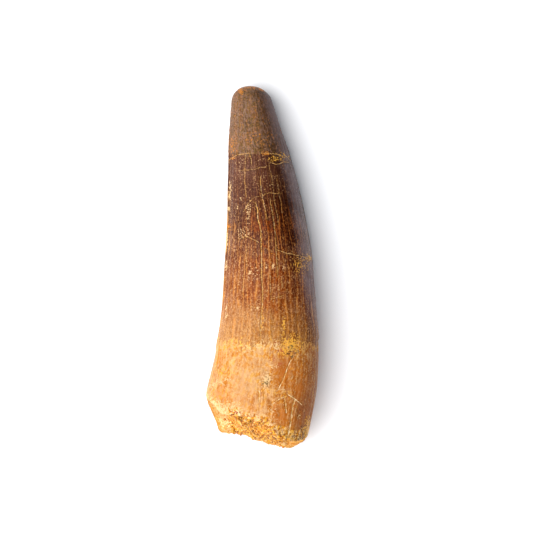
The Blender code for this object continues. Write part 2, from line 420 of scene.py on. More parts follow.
def cracks_from(across, down):
    """Each crack's width, filling and points, after the place along it and the height across it."""
    for runs, cracks in CRACKS.items():
        place, height = (down, across) if runs == "lengthwise" else (across, down)
        for width, filled, points in cracks:
            yield place, height, width, filled, points


def crack_depth(point):
    """How deep the cracks cut at this point, from 0 to 1."""
    deepest = 0.0
    for place, height, width, filled, points in cracks_from(*photo_pixel(point)):
        if points[0][0] <= place <= points[-1][0]:
            away = abs(height - line_through(points, place)) / width
            deepest = max(deepest, filled * math.exp(-2 * away**2))
    return deepest


def stain(kind, point):
    """How strongly this kind of stain marks this point of the upper side."""
    across, down = photo_pixel(point)
    total = 0.0
    for x, y, half_width, half_height, strength in STAINS[kind]:
        reach = ((across - x) / half_width) ** 2 + ((down - y) / half_height) ** 2
        if reach < 6:
            total += strength * math.exp(-reach)
    return min(total, 1.0)


def relief(along, turn, on_skin, sizes):
    """How far the wall stands out from its plain oval section at this place."""
    barrel = on_barrel(along, turn)
    underside = math.exp(-((turn_between(turn, 3 * QUARTER) / UNDERSIDE_WIDTH) ** 2))
    past_enamel = along - enamel_end(turn) + 0.5 * MM * threads(barrel, 1.1 * MM, 9 * MM, 5.3)
    on_crown = 1 - smooth_step(-ENAMEL_STEP / 2, ENAMEL_STEP / 2, past_enamel)
    past_tip = along - WORN_TIP_END + 0.7 * MM * lumps(barrel, 2.5 * MM, 8.8)
    worn_tip = 1 - smooth_step(-0.4 * MM, 0.4 * MM, past_tip)

    ripple = 0.5 + 0.5 * math.cos(FLUTES * turn + 1.2 * lumps(barrel, 12 * MM, 2.2))
    fluted = smooth_step(FLUTES_START, 3 * FLUTES_START, along)
    height = sizes.flute_height * ripple * fluted * on_crown * (1 - underside)
    height += ENAMEL_THICKNESS * on_crown
    sharp = fluted * (1 - smooth_step(-CUTTING_EDGE_FADE, 0, past_enamel))
    for edge_turn in CUTTING_EDGE_TURNS:
        away = turn_between(turn, edge_turn) / CUTTING_EDGE_WIDTH
        height += CUTTING_EDGE_HEIGHT * math.exp(-(away**2)) * sharp

    thread = threads(barrel, 0.55 * MM, 9 * MM, 6.1)
    height += sizes.stria_height * thread * on_crown * (1 - 0.7 * worn_tip)
    height += 0.6 * sizes.stria_height * threads(barrel, 0.9 * MM, 8 * MM, 1.9) * (1 - on_crown)
    rough = 0.35 + 3.0 * worn_tip
    height += sizes.grain_height * rough * lumps(on_skin, 0.55 * MM, 9.4)
    pit = smooth_step(0.28, 0.5, lumps(on_skin, 1.3 * MM, 3.7))
    height -= sizes.pit_depth * pit * (1 - on_crown)
    height += LUMP_HEIGHT * lumps(on_skin, LUMP_SIZE, 3.1)

    to_edge = break_edge(turn)[1] - along
    worn = max(EDGE_WORN_LENGTH - to_edge, 0.0) / EDGE_WORN_LENGTH
    height -= EDGE_WORN_DEPTH * worn**2
    height += 5 * sizes.grain_height * worn * lumps(on_skin, 0.6 * MM, 4.4)
    if math.sin(turn) > CRACKS_END:
        height -= sizes.crack_depth * crack_depth(on_skin)
    return height


def section(along):
    """The sideways middle, half width, half height and underside of the section here."""
    return [value * MM for value in curve_through(SECTIONS_MM, along / MM)]


def wall_point(along, turn, sizes):
    """A point of the tooth's outer wall."""
    middle, half_width, half_height, underside = section(along)
    to_tip = max(1 - along / TIP_ROUNDING, 0.0)
    rounding = (1 - to_tip**TIP_BLUNTNESS) ** (1 / TIP_BLUNTNESS)
    centre = Vector((middle, LENGTH / 2 - along, underside + half_height))
    out = Vector((half_width * math.cos(turn), 0, half_height * math.sin(turn)))
    on_skin = centre + out * rounding
    return on_skin + out.normalized() * relief(along, turn, on_skin, sizes) * rounding


def break_point(inward, turn, sizes):
    """A point of the broken end, and how deep a pit it is in, from 0 to 1.

    Inward runs from 0 at the wall to 1 at the middle.
    """
    plain_along, chipped_along = break_edge(turn)
    edge = wall_point(chipped_along, turn, sizes)
    middle, _, half_height, underside = section(BREAK_CORE)
    centre = Vector((middle, 0, underside + half_height))
    point = edge.lerp(centre, inward)
    wall = BREAK_WALL * (1 + max(-math.sin(turn), 0.0))
    inside = smooth_step(0.5 * wall, 1.5 * wall, inward)
    edge_along = chipped_along + (plain_along - chipped_along) * inside
    along = edge_along + (BREAK_CORE - edge_along) * smooth_step(0, 1, inward)
    upper = 0.4 + 0.6 * max(math.sin(turn), 0.0)
    along -= BREAK_RECESS * upper * inside * (1 - smooth_step(0.2, 0.65, inward))
    point.y = LENGTH / 2 - along
    rough = lumps(point, BREAK_LUMP_SIZE, 1.3) + 0.5 * lumps(point, BREAK_LUMP_SIZE / 2, 4.9)
    fine = lumps(point, 0.8 * MM, 2.4) + 0.6 * lumps(point, 0.4 * MM, 7.1)
    pit = smooth_step(0.15, 0.45, lumps(point, 1.1 * MM, 5.8)) * inside
    point.y += BREAK_LUMP_HEIGHT * rough * (0.2 + 0.8 * inside)
    point.y += sizes.sand_height * fine * (0.3 + 0.7 * inside)
    point.y += 1.6 * sizes.sand_height * pit
    return point, pit


SurfacePoint = namedtuple("SurfacePoint", "point along turn inward to_edge pit")


def surface_point(row, turn, sizes):
    """The vertex of this row and turn: rounded tip, crown, root, then the break."""
    edge = break_edge(turn)[1]
    if row > ROWS - BREAK_ROWS:
        inward = (row - ROWS + BREAK_ROWS) / BREAK_ROWS
        point, pit = break_point(inward, turn, sizes)
        along = LENGTH / 2 - point.y
        return SurfacePoint(point, along, turn, inward, 0.0, pit)
    if row <= TIP_ROWS:
        along = TIP_ROUNDING * (1 - math.cos(QUARTER * row / TIP_ROWS))
    elif row <= TIP_ROWS + CROWN_ROWS:
        along = TIP_ROUNDING + (ENAMEL_END - TIP_ROUNDING) * (row - TIP_ROWS) / CROWN_ROWS
    else:
        share = (row - TIP_ROWS - CROWN_ROWS) / ROOT_ROWS
        along = ENAMEL_END + (edge - ENAMEL_END) * share
    return SurfacePoint(wall_point(along, turn, sizes), along, turn, 0.0, edge - along, 0.0)


class Field:
    """A value that varies over a surface: one output socket of a shader node."""

    def __init__(self, finish, socket):
        self.finish = finish
        self.socket = socket

    def __add__(self, other):
        return self.finish.maths("ADD", self, other)

    def __radd__(self, other):
        return self.finish.maths("ADD", other, self)

    def __sub__(self, other):
        return self.finish.maths("SUBTRACT", self, other)

    def __rsub__(self, other):
        return self.finish.maths("SUBTRACT", other, self)

    def __mul__(self, other):
        return self.finish.maths("MULTIPLY", self, other)

    def __rmul__(self, other):
        return self.finish.maths("MULTIPLY", other, self)

    def __abs__(self):
        return self.finish.maths("ABSOLUTE", self)

    def rise(self, low, high):
        """Rises smoothly from 0 at low to 1 at high. It falls where low is above high."""
        settings = {"interpolation_type": "SMOOTHSTEP"}
        values = {"Value": self, "From Min": low, "From Max": high}
        return self.finish.node("MapRange", settings, values)


class Finish:
    """The shader nodes of a material or of the room, and the ways they are made."""

    def __init__(self, owner, colours=None):
        owner.use_nodes = True
        self.owner = owner
        self.colours = colours
        self.nodes = owner.node_tree.nodes
        self.links = owner.node_tree.links

    def feed(self, socket, value):
        """Links a field to the socket, or sets a value, which may be the name of a colour."""
        if isinstance(value, str):
            value = getattr(self.colours, value)
        if isinstance(value, Field):
            self.links.new(value.socket, socket)
        elif hasattr(value, "__len__") and len(value) == 3 and len(socket.default_value) == 4:
            socket.default_value = (*value, 1)
        else:
            socket.default_value = value

    def node(self, kind, settings=None, values=None, output=0):
        """A node of this type with its settings, then its sockets' values or links."""
        node = self.nodes.new("ShaderNode" + kind)
        for name, setting in (settings or {}).items():
            if name == "stops":
                for place, stop_colour in setting[1:-1]:
                    node.color_ramp.elements.new(place).color = (*stop_colour, 1)
                for end in (0, -1):
                    node.color_ramp.elements[end].position = setting[end][0]
                    node.color_ramp.elements[end].color = (*setting[end][1], 1)
            elif name == "curve":
                curve = node.mapping.curves[0]
                for place, height in setting[1:-1]:
                    curve.points.new(place, height)
                for end in (0, -1):
                    curve.points[end].location = setting[end]
                for point in curve.points:
                    point.handle_type = "VECTOR"
                node.mapping.update()
            else:
                setattr(node, name, setting)
        for name, value in (values or {}).items():
            self.feed(node.inputs[name], value)
        return Field(self, node.outputs[output])

    def maths(self, operation, *values):
        return self.node("Math", {"operation": operation}, dict(enumerate(values)))

    def attribute(self, name, output="Fac"):
        return self.node("Attribute", {"attribute_name": name}, output=output)

    def stretched(self, vector, amounts):
        return self.node("VectorMath", {"operation": "MULTIPLY"}, {0: vector, 1: amounts})

    def noise(self, vector, scale, detail=2.0, roughness=0.5, squeeze=1.0):
        """Noise from 0 to 1, drawn out along the tooth where squeeze is below 1."""
        if squeeze < 1:
            vector = self.stretched(vector, (1, 1, squeeze))
        values = {"Vector": vector, "Scale": scale, "Detail": detail, "Roughness": roughness}
        return self.node("TexNoise", {}, values)

    def ramp(self, place, *stops):
        """Runs through the colours of stops, which are (place, name of the colour)."""
        stops = [(stop, getattr(self.colours, name)) for stop, name in stops]
        return self.node("ValToRGB", {"stops": stops}, {"Fac": place})

    def line_through(self, points, place):
        """Height at place of the line through points, and the share of its length up to there."""
        heights = [height for _, height in points]
        start, low, high = points[0][0], min(heights) - 1, max(heights) + 1
        length, reach = points[-1][0] - start, high - low
        limits = {"Value": place, "From Min": start, "From Max": points[-1][0]}
        share = self.node("MapRange", {}, limits)
        bends = [((x - start) / length, (y - low) / reach) for x, y in points]
        return self.node("FloatCurve", {"curve": bends}, {"Value": share}) * reach + low, share

    def mix(self, factor, first, second, blend="MIX"):
        settings = {"data_type": "RGBA", "blend_type": blend, "clamp_result": True}
        return self.node("Mix", settings, {0: factor, 6: first, 7: second}, output=2)

    def layered(self, base, *layers):
        """The colour with layers over it, each (mask, colour) or (mask, colour, blend)."""
        for mask, *tint in layers:
            base = self.mix(mask, base, *tint)
        return base

    def part(self, vector, axis):
        return self.node("SeparateXYZ", {}, {0: vector}, output=axis)

    def place(self):
        """The place on the piece, in millimetres."""
        return self.stretched(self.node("TexCoord", output="Object"), (1 / MM,) * 3)

    def finish_with(self, values):
        """The material, with these values on its shader's sockets."""
        for name, value in values.items():
            self.feed(self.nodes["Principled BSDF"].inputs[name], value)
        return self.owner


def crack_lines(finish, across, down, wander):
    """The cracks of the upper side as two masks: their pale filling, and the painted shadow line along
    it.

    Across, down and wander, which is how far a crack strays, are in the photograph's pixels.
    """
    fillings, crack_shadows = 0, 0
    full, gone = CRACK_SHADOW_REACH
    for place, height, width, filled, points in cracks_from(across, down):
        line, share = finish.line_through(points, place)
        away = abs(line + wander - height)
        strength = share.rise(0, CRACK_FADE) * share.rise(1, 1 - CRACK_FADE) * filled
        half = CRACK_FILLING * width
        filling = away.rise(half + CRACK_SOFTNESS, half - CRACK_SOFTNESS) * strength
        fillings = finish.maths("MAXIMUM", fillings, filling)
        crack_shadows = finish.maths("MAXIMUM", crack_shadows, away.rise(half + gone, half + full) * strength)
    return fillings, crack_shadows


def tooth_finish(colours):
    """Worn tip, striped enamel, amber root and sandy break, with their cracks and stains, and with
    painted shade, sheen and reflection.
    """
    finish = Finish(bpy.data.materials.new("fossil_enamel_and_root"), colours)
    barrel = finish.stretched(finish.attribute("barrel", "Vector"), (1 / MM,) * 3)
    place = finish.place()
    around, above, along = (finish.part(barrel, axis) for axis in range(3))
    across = finish.part(place, 0) * (MM / PIXEL) + PHOTO_ORIGIN[0]
    down = PHOTO_ORIGIN[1] - finish.part(place, 1) * (MM / PIXEL)
    convex = around.rise(-1, 5.2)
    inward = finish.attribute("inward")
    to_edge = finish.attribute("to_edge") * (1 / MM)

    # Threads and dashes that run along the tooth, then grains and patches.
    threads_wide = finish.noise(barrel, 1.3, 3, 0.6, squeeze=0.06)
    threads_fine = finish.noise(barrel, 3.4, 3, 0.65, squeeze=0.09)
    dashes = finish.noise(barrel, 3.2, 2, 0.6, squeeze=0.35)
    streaks = finish.noise(barrel, 4, 1, squeeze=0.4)
    mottle = finish.noise(barrel, 0.9, 3, 0.6, squeeze=0.6)
    hues = finish.noise(barrel, 2.2, 1, squeeze=0.6)
    crumbs = finish.noise(place, 2.4, 3, 0.7)
    specks = finish.noise(place, 3.3, 1)
    clods = finish.noise(place, 1.6, 2, 0.6)
    patches = finish.noise(place, 0.28, 4, 0.6)
    clouds = finish.noise(place, 0.12)
    wander = (finish.noise(place, 0.9, 3) - 0.5) * 2
    warm = hues.rise(0.51, 0.4)
    dusty = hues.rise(0.5, 0.62)

    # Fine lines that run along the flutes, each broken up along its length.
    turn = finish.maths("ARCTAN2", above, around)
    drift = finish.noise(barrel, 0.35, squeeze=0.12)
    ripple = finish.maths("COSINE", turn * LINES + (drift - 0.5) * 30)
    broken_line = finish.noise(barrel, 1.04, 4, 0.75, squeeze=0.2)
    lines = ripple.rise(0.68, 0.98) * broken_line.rise(0.38, 0.52)
    lines = lines * (0.45 + threads_wide.rise(0.4, 0.58) * 0.65)
    troughs = ripple.rise(0, -0.9) * broken_line.rise(0.64, 0.45)

    # Where each zone begins, in millimetres from the tip.
    upper = (above + (crumbs - 0.5) * 7 + (patches - 0.5) * 5).rise(-1.2, 0.4)
    tip = (along + (patches - 0.5) * 5 + (threads_fine - 0.5) * 3).rise(14.9, 13.9)
    enamel_edge = along + (threads_wide - 0.5) * 7 + (patches - 0.5) * 6 + (crumbs - 0.5) * 2.4
    root = enamel_edge.rise(53.7, 54.7)
    edge_line = abs(enamel_edge - 54.3).rise(0.42, 0.12)
    below_edge = enamel_edge.rise(53.8, 54.6) * enamel_edge.rise(56.2, 54.8)
    broken = inward.rise(0, 0.02)
    lower = along.rise(22, 34)

    # How light a place is among its neighbours, in threads, crumbs and wider patches.
    tone = threads_fine * 0.4 + dashes * 0.2 + crumbs * 0.25 + specks * 0.15
    tone = tone + (patches - 0.5) * 0.2
    deep = tone.rise(0.5, 0.41)
    pale = tone.rise(0.51, 0.6)

    # Enamel: from dark maroon near the worn tip to amber at the root, in light and dark threads, with
    # painted shade on the convex side and a painted reflection of the floor along it.
    # The ramp's places are shares of the tooth's length.
    ramp = finish.ramp(
        (along + (clouds - 0.5) * 10 + (patches - 0.5) * 6) * 0.0132,
        (0.24, "maroon_enamel"),
        (0.36, "dark_enamel"),
        (0.45, "brown_enamel"),
        (0.54, "red_enamel"),
        (0.61, "amber_enamel"),
        (0.69, "pale_enamel"),
    )
    # Darker on the convex side, away from the light, and most of all along its far flank: partly a
    # browner enamel, partly painted shade.
    convex_brown_and_shade = convex * (1 - along.rise(33, 50) * 0.6)
    convex_brown_and_shade = convex_brown_and_shade + around.rise(5, 8) * (0.2 + along.rise(37, 46) * 0.5)
    ramp = finish.mix(convex_brown_and_shade, ramp, BROWN_AND_SHADE_ENAMEL, "MULTIPLY")
    shade = finish.mix(1, ramp, SHADED_ENAMEL, "MULTIPLY")
    bright = 1 - enamel_edge.rise(45, 52) * 0.3
    concave = around.rise(-0.5, -6.5) * along.rise(20, 27) * along.rise(44, 33)
    # Grey film in patches, with painted sheen on the concave side, which faces the light, and where the
    # grey stains lie.
    film_and_sheen = patches.rise(0.47, 0.57) * (0.02 + lower * 0.09) + concave * 0.1
    film_and_sheen = film_and_sheen + finish.attribute("grey") * 0.2
    glow = patches.rise(0.53, 0.43) * along.rise(23, 32) * along.rise(54, 42)
    glow = glow * around.rise(-6, -2) * around.rise(4.5, 0.5) * deep.rise(1, 0.2)
    flecked = (broken_line * 0.5 + patches * 0.5).rise(0.42, 0.6) * (1 - convex * 0.5)
    grit = specks.rise(0.6, 0.68) + dashes.rise(0.62, 0.7) * (1 - convex) * 0.6
    flecks = grit * flecked * along.rise(12, 16)
    dark_grains = streaks.rise(0.45, 0.34) * 0.5 + specks.rise(0.44, 0.33) * 0.45
    light_grains = streaks.rise(0.56, 0.67) * 0.4 + specks.rise(0.57, 0.68) * 0.6
    depth = along.rise(17, 26) * (0.3 + along.rise(36, 31) * 0.7) * along.rise(52, 42)
    depth = depth * (0.65 + convex * 0.3) * around.rise(-8, -2.5) * around.rise(8.2, 5.6)
    # A painted reflection of the pale floor: a grey lilac band along the convex side of the crown and
    # tip.
    reflection_edge = finish.line_through(REFLECTION_EDGE, down)[0]
    bloom = (across - reflection_edge - wander * 3 - (crumbs - 0.5) * 9).rise(-1, 11)
    bloom = bloom * above.rise(-2, 1) * (0.42 + patches.rise(0.35, 0.6) * 0.3)
    chalky = around.rise(-1, -6) * along.rise(44, 49) * (0.15 + crumbs.rise(0.45, 0.6) * 0.3)
    enamel = finish.layered(
        ramp,
        (deep * bright * 0.95, shade),
        (troughs * bright * 0.75, shade),
        (pale * (0.16 + lower * 0.16 - convex * 0.12), "tan_thread"),
        (film_and_sheen * crumbs.rise(0.3, 0.56), "grey_film"),
        (glow * 0.5, "glow"),
        (lines * (0.16 + lower * 0.64), "line_light"),
        (warm * (0.2 + along.rise(33, 44) * 0.5), WARM_GRAIN, "MULTIPLY"),
        (dusty * (0.02 + lower * 0.07), "grey_film"),
        (flecks * 0.5, "cream"),
        (dark_grains, shade),
        (light_grains * (0.1 + lower * 0.42), "grain_light"),
        (depth, DEEP_ENAMEL, "MULTIPLY"),
        # Painted reflection of the floor along the convex side.
        (bloom * along.rise(56, 42), "bloom"),
        (chalky, "rosy_root"),
    )

    # Worn tip: dull grey brown with rusty threads, and orange and olive grains, with painted shade and a
    # painted reflection of the floor on its convex side.
    rust = threads_wide.rise(0.45, 0.62) * 0.5 + patches.rise(0.45, 0.62) * 0.4
    rusty_specks = specks.rise(0.58, 0.68) * (0.1 + threads_wide.rise(0.45, 0.6) * 0.4)
    tip_base = finish.layered(
        "worn_tip",
        (deep, "tip_shade"),
        (pale * 0.6, "tip_light"),
        (rust * 0.7, "rusty_tip"),
        (hues.rise(0.45, 0.3) * 0.5, "olive"),
        # Painted shade on the convex side, away from the light.
        (convex, SHADED_CONVEX_TIP, "MULTIPLY"),
        (warm * 0.6, WARM_GRAIN, "MULTIPLY"),
        (dusty * 0.22, "grey_film"),
        (specks.rise(0.44, 0.32) * 0.5, "hollow"),
        (rusty_specks, "orange"),
        # Painted reflection of the floor along the convex side.
        (bloom * 0.8, "bloom"),
    )

    # Root: amber and honey patches, rosy clouds and faint threads, browner on the convex side, with
    # painted shade along that flank.
    root_base = finish.layered(
        "amber_root",
        (patches.rise(0.38, 0.62), "honey_root"),
        (clouds.rise(0.42, 0.6) * 0.5, "rosy_root"),
        (convex * 0.85, "brown_root"),
        (mottle.rise(0.5, 0.38) * (0.4 + convex * 0.5), "root_thread"),
        (mottle.rise(0.5, 0.62) * 0.6, "root_light"),
        (deep * (0.5 + convex * 0.3), "root_thread"),
        (pale * (0.4 + convex * 0.4) + lines * 0.6, "root_light"),
        (troughs * (0.15 + convex * 0.55), "root_thread"),
        # Painted shade along the convex flank, away from the light.
        (around.rise(4.5, 8), SHADED_FLANK_ROOT, "MULTIPLY"),
        (warm, WARM_GRAIN, "MULTIPLY"),
        (dusty * (0.6 - convex * 0.4), "rosy_root"),
        (specks.rise(0.56, 0.67) * (0.5 - convex * 0.1), "root_light"),
        (streaks.rise(0.46, 0.34) * (0.2 + convex * 0.7), "root_thread"),
    )

    # Bare wall round the break: layered golden stone, with chalk flakes at the left.
    layers = finish.maths("SINE", inward * 110 + mottle * 9 + crumbs * 3)
    bare = finish.layered(
        "golden_lip",
        (layers.rise(0.1, 0.9) * 0.5, "brown_sand"),
        (mottle.rise(0.48, 0.6) * 0.8, "orange"),
        (specks.rise(0.56, 0.66) * 0.6, "cream"),
        (clods.rise(0.4, 0.34) * 0.4, "umber"),
    )
    flaky = (crumbs * 0.6 + clods * 0.4).rise(0.46, 0.52)
    flaky = flaky * (inward + above * 0.02 + 0.06).rise(0, 0.1)
    chalk = finish.layered(
        bare,
        (flaky * 0.55, "chalk"),
        (mottle.rise(0.5, 0.4) * 0.5, "brown_sand"),
    )

    # Sandy break: ochre sand, cream grains and brown clods, with painted shade in its pits, inside that
    # wall.
    left = around.rise(-4.5, -6.5)
    left_wall = left * (inward + (crumbs - 0.5) * 0.2).rise(0.36, 0.3)
    lip = (inward + (crumbs - 0.5) * 0.15).rise(0.26, 0.2) * above.rise(-1, -4)
    sand = finish.layered(
        "brown_sand",
        (clods.rise(0.4, 0.54), "ochre_sand"),
        (clods.rise(0.5, 0.6) * 0.8, "gold"),
        (crumbs.rise(0.44, 0.3) * 0.8, "brown_sand"),
        (warm, WARM_GRAIN, "MULTIPLY"),
        (dusty * 0.4, "chalk"),
        (streaks.rise(0.42, 0.32) * 0.6, "olive"),
        (specks.rise(0.6, 0.7) * 0.5, "cream"),
        # Painted shade in the pits of the break.
        (finish.attribute("pit") * 0.6, "hollow"),
        (clods.rise(0.42, 0.32) * 0.7, "umber"),
        (left_wall, chalk),
        (lip * (1 - left * 0.85), bare),
    )

    # The zones over each other, with washes of colour, the crumbling edge, specks and cracks. The rosy
    # wash is partly painted sheen, the dark specks are partly painted shade, and a painted shadow line
    # runs along each crack.
    keel = finish.maths("COSINE", turn - CUTTING_EDGE_TURNS[0]).rise(0.9975, 0.9995)
    keel = keel * along.rise(20, 24) * enamel_edge.rise(56, 52)
    # The rosy wash is partly painted sheen on the root, left of its middle.
    washes = [
        (finish.attribute(kind) * upper * mottle.rise(0.3, 0.55) * amount, tint)
        for kind, tint, amount in (
            ("rosy", "rosy_root", 0.7),
            ("amber", "amber_stain", 0.9),
            ("umber", "umber", 0.85),
        )
    ]
    crumbly = to_edge.rise(2.4, 0.4) * root
    crust = to_edge - convex * 1.6 + (crumbs - 0.5) * 4 + (mottle - 0.5) * 6
    scatter = crumbs * 0.5 + specks * 0.5 - 0.5
    marks = []
    for kind, tint, amount, side in (
        ("ochre", "orange", 0.85, 1),
        ("gold", "gold", 0.85, 1),
        ("cream", "cream", 0.9, 1),
        ("red", "red_stain", 0.7, -1),
        ("olive", "olive", 0.8, -1),
        # Dark marks: partly painted shade under the break's lip and in its crevices, partly dark specks.
        ("dark", "hollow", 0.75, -1),
    ):
        there = finish.attribute(kind)
        mask = (there * 0.6 + scatter * (3 * side)).rise(0.25, 0.45) * there.rise(0.02, 0.15)
        marks.append((mask * upper * amount, tint))
    cracks, crack_shadows = (mask * upper for mask in crack_lines(finish, across, down, wander))
    crack_fill = finish.layered(
        "yellow_edge",
        (dashes.rise(0.46, 0.62), "cream"),
        (root * dashes.rise(0.45, 0.58), "chalk"),
    )
    crazing = finish.node(
        "TexVoronoi",
        {"feature": "DISTANCE_TO_EDGE"},
        {"Vector": finish.stretched(barrel, (1, 1, 0.3)), "Scale": 0.16},
    )
    crazing = crazing.rise(0.016, 0.005) * patches.rise(0.42, 0.55) * (1 - upper)
    base = finish.layered(
        enamel,
        (tip, tip_base),
        (root, root_base),
        (below_edge * crumbs.rise(0.5, 0.62) * 0.15, "gold"),
        (edge_line * broken_line.rise(0.32, 0.5) * 0.8, "yellow_edge"),
        (keel * broken_line.rise(0.4, 0.6) * 0.6, "yellow_edge"),
        *washes,
        (crumbly * crumbs.rise(0.5, 0.6) * 0.6, "chalk"),
        (crumbly * crumbs.rise(0.45, 0.33) * 0.8, "brown_sand"),
        (crust.rise(0.9, 0.3) * root, sand),
        (broken, sand),
        *marks,
        # Painted shadow along each crack.
        (crack_shadows * (0.5 - root * 0.25), CRACK_SHADE, "MULTIPLY"),
        (cracks * (0.22 + root * 0.5 + specks.rise(0.38, 0.55) * 0.7), crack_fill),
        (crazing * 0.45 * (1 - broken), "cream"),
    )

    # Sheen: glossy enamel, a duller tip and root, and dry sand.
    dull = tip * 0.15 + root * 0.1 + cracks * 0.3 + flecks * 0.2
    roughness = 0.25 + dull + (crumbs - 0.5) * 0.16 + broken * 0.55
    height = (threads_fine * 0.035 + dashes * 0.025) * (1 - root * 0.5)
    height = height + crumbs * (0.015 + broken * 0.12 + tip * 0.06)
    height = height - cracks * 0.05 + edge_line * 0.03 + flecks * 0.03
    normal = finish.node("Bump", {}, {"Height": height, "Distance": MM, "Strength": 1})
    return finish.finish_with(
        {
            "Base Color": base,
            "Roughness": roughness,
            "Normal": normal,
            "Specular IOR Level": 0.06,
        }
    )


def grain_finish(colours):
    """Loose sand: each grain has its own shade, from brown through ochre to cream."""
    finish = Finish(bpy.data.materials.new("sand_grains"), colours)
    shade = finish.ramp(
        finish.attribute("tint"),
        (0, "umber"),
        (0.12, "brown_sand"),
        (0.35, "orange"),
        (0.6, "ochre_sand"),
        (0.85, "gold"),
        (1, "cream"),
    )
    mottle = finish.noise(finish.place(), 5)
    shade = finish.mix(mottle.rise(0.35, 0.65) * 0.3, shade, "ochre_sand")
    return finish.finish_with({"Base Color": shade, "Roughness": 0.7 + mottle * 0.25})


def floor_finish(stage):
    """Plain pale paper with the faintest mottle."""
    finish = Finish(bpy.data.materials.new("pale_paper"))
    mottle = finish.noise(finish.node("TexCoord", output="Object"), 300)
    tone = finish.mix(mottle, stage.floor_colour, [part * 0.995 for part in stage.floor_colour])
    return finish.finish_with({"Base Color": tone, "Roughness": 0.9})


def show(name, mesh, material):
    """Adds the mesh to the scene as a piece with this material."""
    mesh.materials.append(material)
    piece = bpy.data.objects.new(name, mesh)
    bpy.context.scene.collection.objects.link(piece)
    return piece


class FossilSizes(bpy.types.PropertyGroup):
    columns: count("Columns", "Faces round the tooth", 440, 60, 450)
    flute_height: size("Flute height", "How far the wide flutes of the enamel stand up", 0.06)
    stria_height: size("Stria height", "How far the fine threads of the surface stand up", 0.05)
    grain_height: size("Grain height", "How rough the surface is at half a millimetre", 0.03)
    pit_depth: size("Pit depth", "How deep the small pits of the root are", 0.1)
    crack_depth: size("Crack depth", "How deep the pale cracks cut in", 0.1)
    sand_height: size("Sand height", "How rough the broken end is", 0.28)
    grains: count("Grains", "Loose grains of sand on the broken end", 1500, 0, 6000)
    grain_radius: size("Grain radius", "Radius of a middling grain of sand", 0.19)


class FossilColours(bpy.types.PropertyGroup):
    worn_tip: colour("Worn tip", "Dull grey brown of the worn tip", 108, 83, 64)
    tip_shade: colour("Tip shade", "Darker threads in the worn tip", 76, 54, 40)
    tip_light: colour("Tip light", "Lighter threads in the worn tip", 134, 106, 82)
    rusty_tip: colour("Rusty tip", "Rust brown threads in the worn tip", 122, 76, 46)
    maroon_enamel: colour("Maroon enamel", "Maroon enamel just below the worn tip", 84, 49, 39)
    dark_enamel: colour("Dark enamel", "Dark brown enamel of the upper crown", 68, 28, 12)
    brown_enamel: colour("Brown enamel", "Brown enamel of the middle of the crown", 92, 39, 8)
    red_enamel: colour("Red enamel", "Red-brown enamel below the middle of the crown", 122, 60, 13)
    amber_enamel: colour("Amber enamel", "Amber enamel of the lower crown", 142, 82, 30)
    pale_enamel: colour("Pale enamel", "Pale enamel next to the root", 170, 120, 64)
    tan_thread: colour("Tan thread", "Light threads in the enamel", 174, 108, 44)
    line_light: colour("Line light", "Pale lines that run along the enamel", 192, 128, 62)
    grain_light: colour("Light grains", "Pale grains in the enamel", 196, 150, 96)
    # Partly a real grey film, partly painted sheen.
    grey_film: colour("Grey film", "Thin rosy grey film on the enamel", 154, 118, 102)
    glow: colour("Glow", "Clear orange brown enamel", 156, 76, 10)
    amber_root: colour("Amber root", "Deeper patches of the root", 182, 128, 66)
    honey_root: colour("Honey root", "Lighter patches of the root", 186, 142, 86)
    rosy_root: colour("Rosy root", "Rosy clouds on the root", 182, 135, 92)
    brown_root: colour("Brown root", "Orange brown of the root's convex side", 182, 106, 36)
    root_thread: colour("Root thread", "Brown threads in the root", 150, 84, 22)
    root_light: colour("Root light", "Light threads in the root", 214, 168, 112)
    yellow_edge: colour("Yellow edge", "Jagged line where the enamel ends", 208, 152, 78)
    cream: colour("Cream", "Pale matrix in cracks, and pale specks", 208, 170, 120)
    chalk: colour("Chalk", "Palest matrix, in the cracks and on the edge of the root", 246, 212, 160)
    orange: colour("Orange", "Orange matrix and stains", 184, 112, 34)
    gold: colour("Gold", "Golden yellow specks and pockets", 218, 158, 60)
    red_stain: colour("Red stain", "Red spots on the root", 160, 78, 50)
    amber_stain: colour("Amber stain", "Deep orange brown patches of the root", 176, 96, 30)
    umber: colour("Umber", "Purple brown patches of the root", 134, 76, 40)
    # Colour of the painted reflection of the pale floor along the convex side.
    bloom: colour("Bloom", "Grey bloom on the convex side", 118, 102, 104)
    olive: colour("Olive", "Grey green stains", 96, 82, 54)
    ochre_sand: colour("Ochre sand", "Most of the sand of the broken end", 200, 142, 48)
    brown_sand: colour("Brown sand", "Brown sand and shaded grains", 148, 86, 24)
    golden_lip: colour("Golden lip", "Smooth lip of wall below the break", 204, 150, 76)
    # Painted shade in pits and crevices, and also the colour of dark specks.
    hollow: colour("Hollow", "Dark bottom of pits and hollows", 66, 38, 14)


class FossilStage(bpy.types.PropertyGroup):
    floor_colour: colour("Floor colour", "Pale floor", 244, 244, 245)
    key_power: amount("Key power", "Power of the soft light on the left", 321.0, min=0, unit="POWER")
    key_tilt: angle("Key tilt", "How far the soft light leans away from overhead", 38)
    key_bearing: angle("Key bearing", "Direction of the soft light, counted from +X", 204)
    room_light: amount("Room light", "Strength of the even light from the room", 0.3, min=0)
    room_colour: colour("Room colour", "Faintly blue light from the room", 240, 245, 255)
    camera_height: amount(
        "Camera height",
        "How far above the widest part of the tooth the camera is",
        0.9,
        min=0.2,
        subtype="DISTANCE",
        unit="LENGTH",
    )


